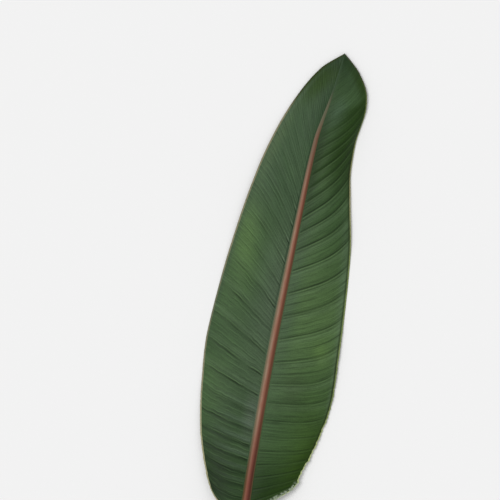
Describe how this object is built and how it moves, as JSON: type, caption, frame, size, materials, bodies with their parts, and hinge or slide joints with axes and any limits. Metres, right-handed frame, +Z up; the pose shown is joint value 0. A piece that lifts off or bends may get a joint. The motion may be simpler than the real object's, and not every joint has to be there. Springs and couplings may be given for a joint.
{
  "type": "bird of paradise leaf",
  "caption": "Long pointed cut leaf lying face up: leathery ribbed blade with a raised reddish midrib, on a channelled stalk.",
  "frame": {"origin": "on the surface that the leaf lies on, under the middle of its bounding box", "axes": "+Y along the leaf towards the tip, +Z up out of its upper face, +X to the right seen from above with the tip ahead"},
  "size_m": [0.1168, 0.65, 0.0112],
  "materials": {
    "leaf": "satin, slightly waxy deep green, with a reddish midrib and a thin pale margin"
  },
  "bodies": {
    "root": {"leaf": "leaf"}
  },
  "joints": []
}
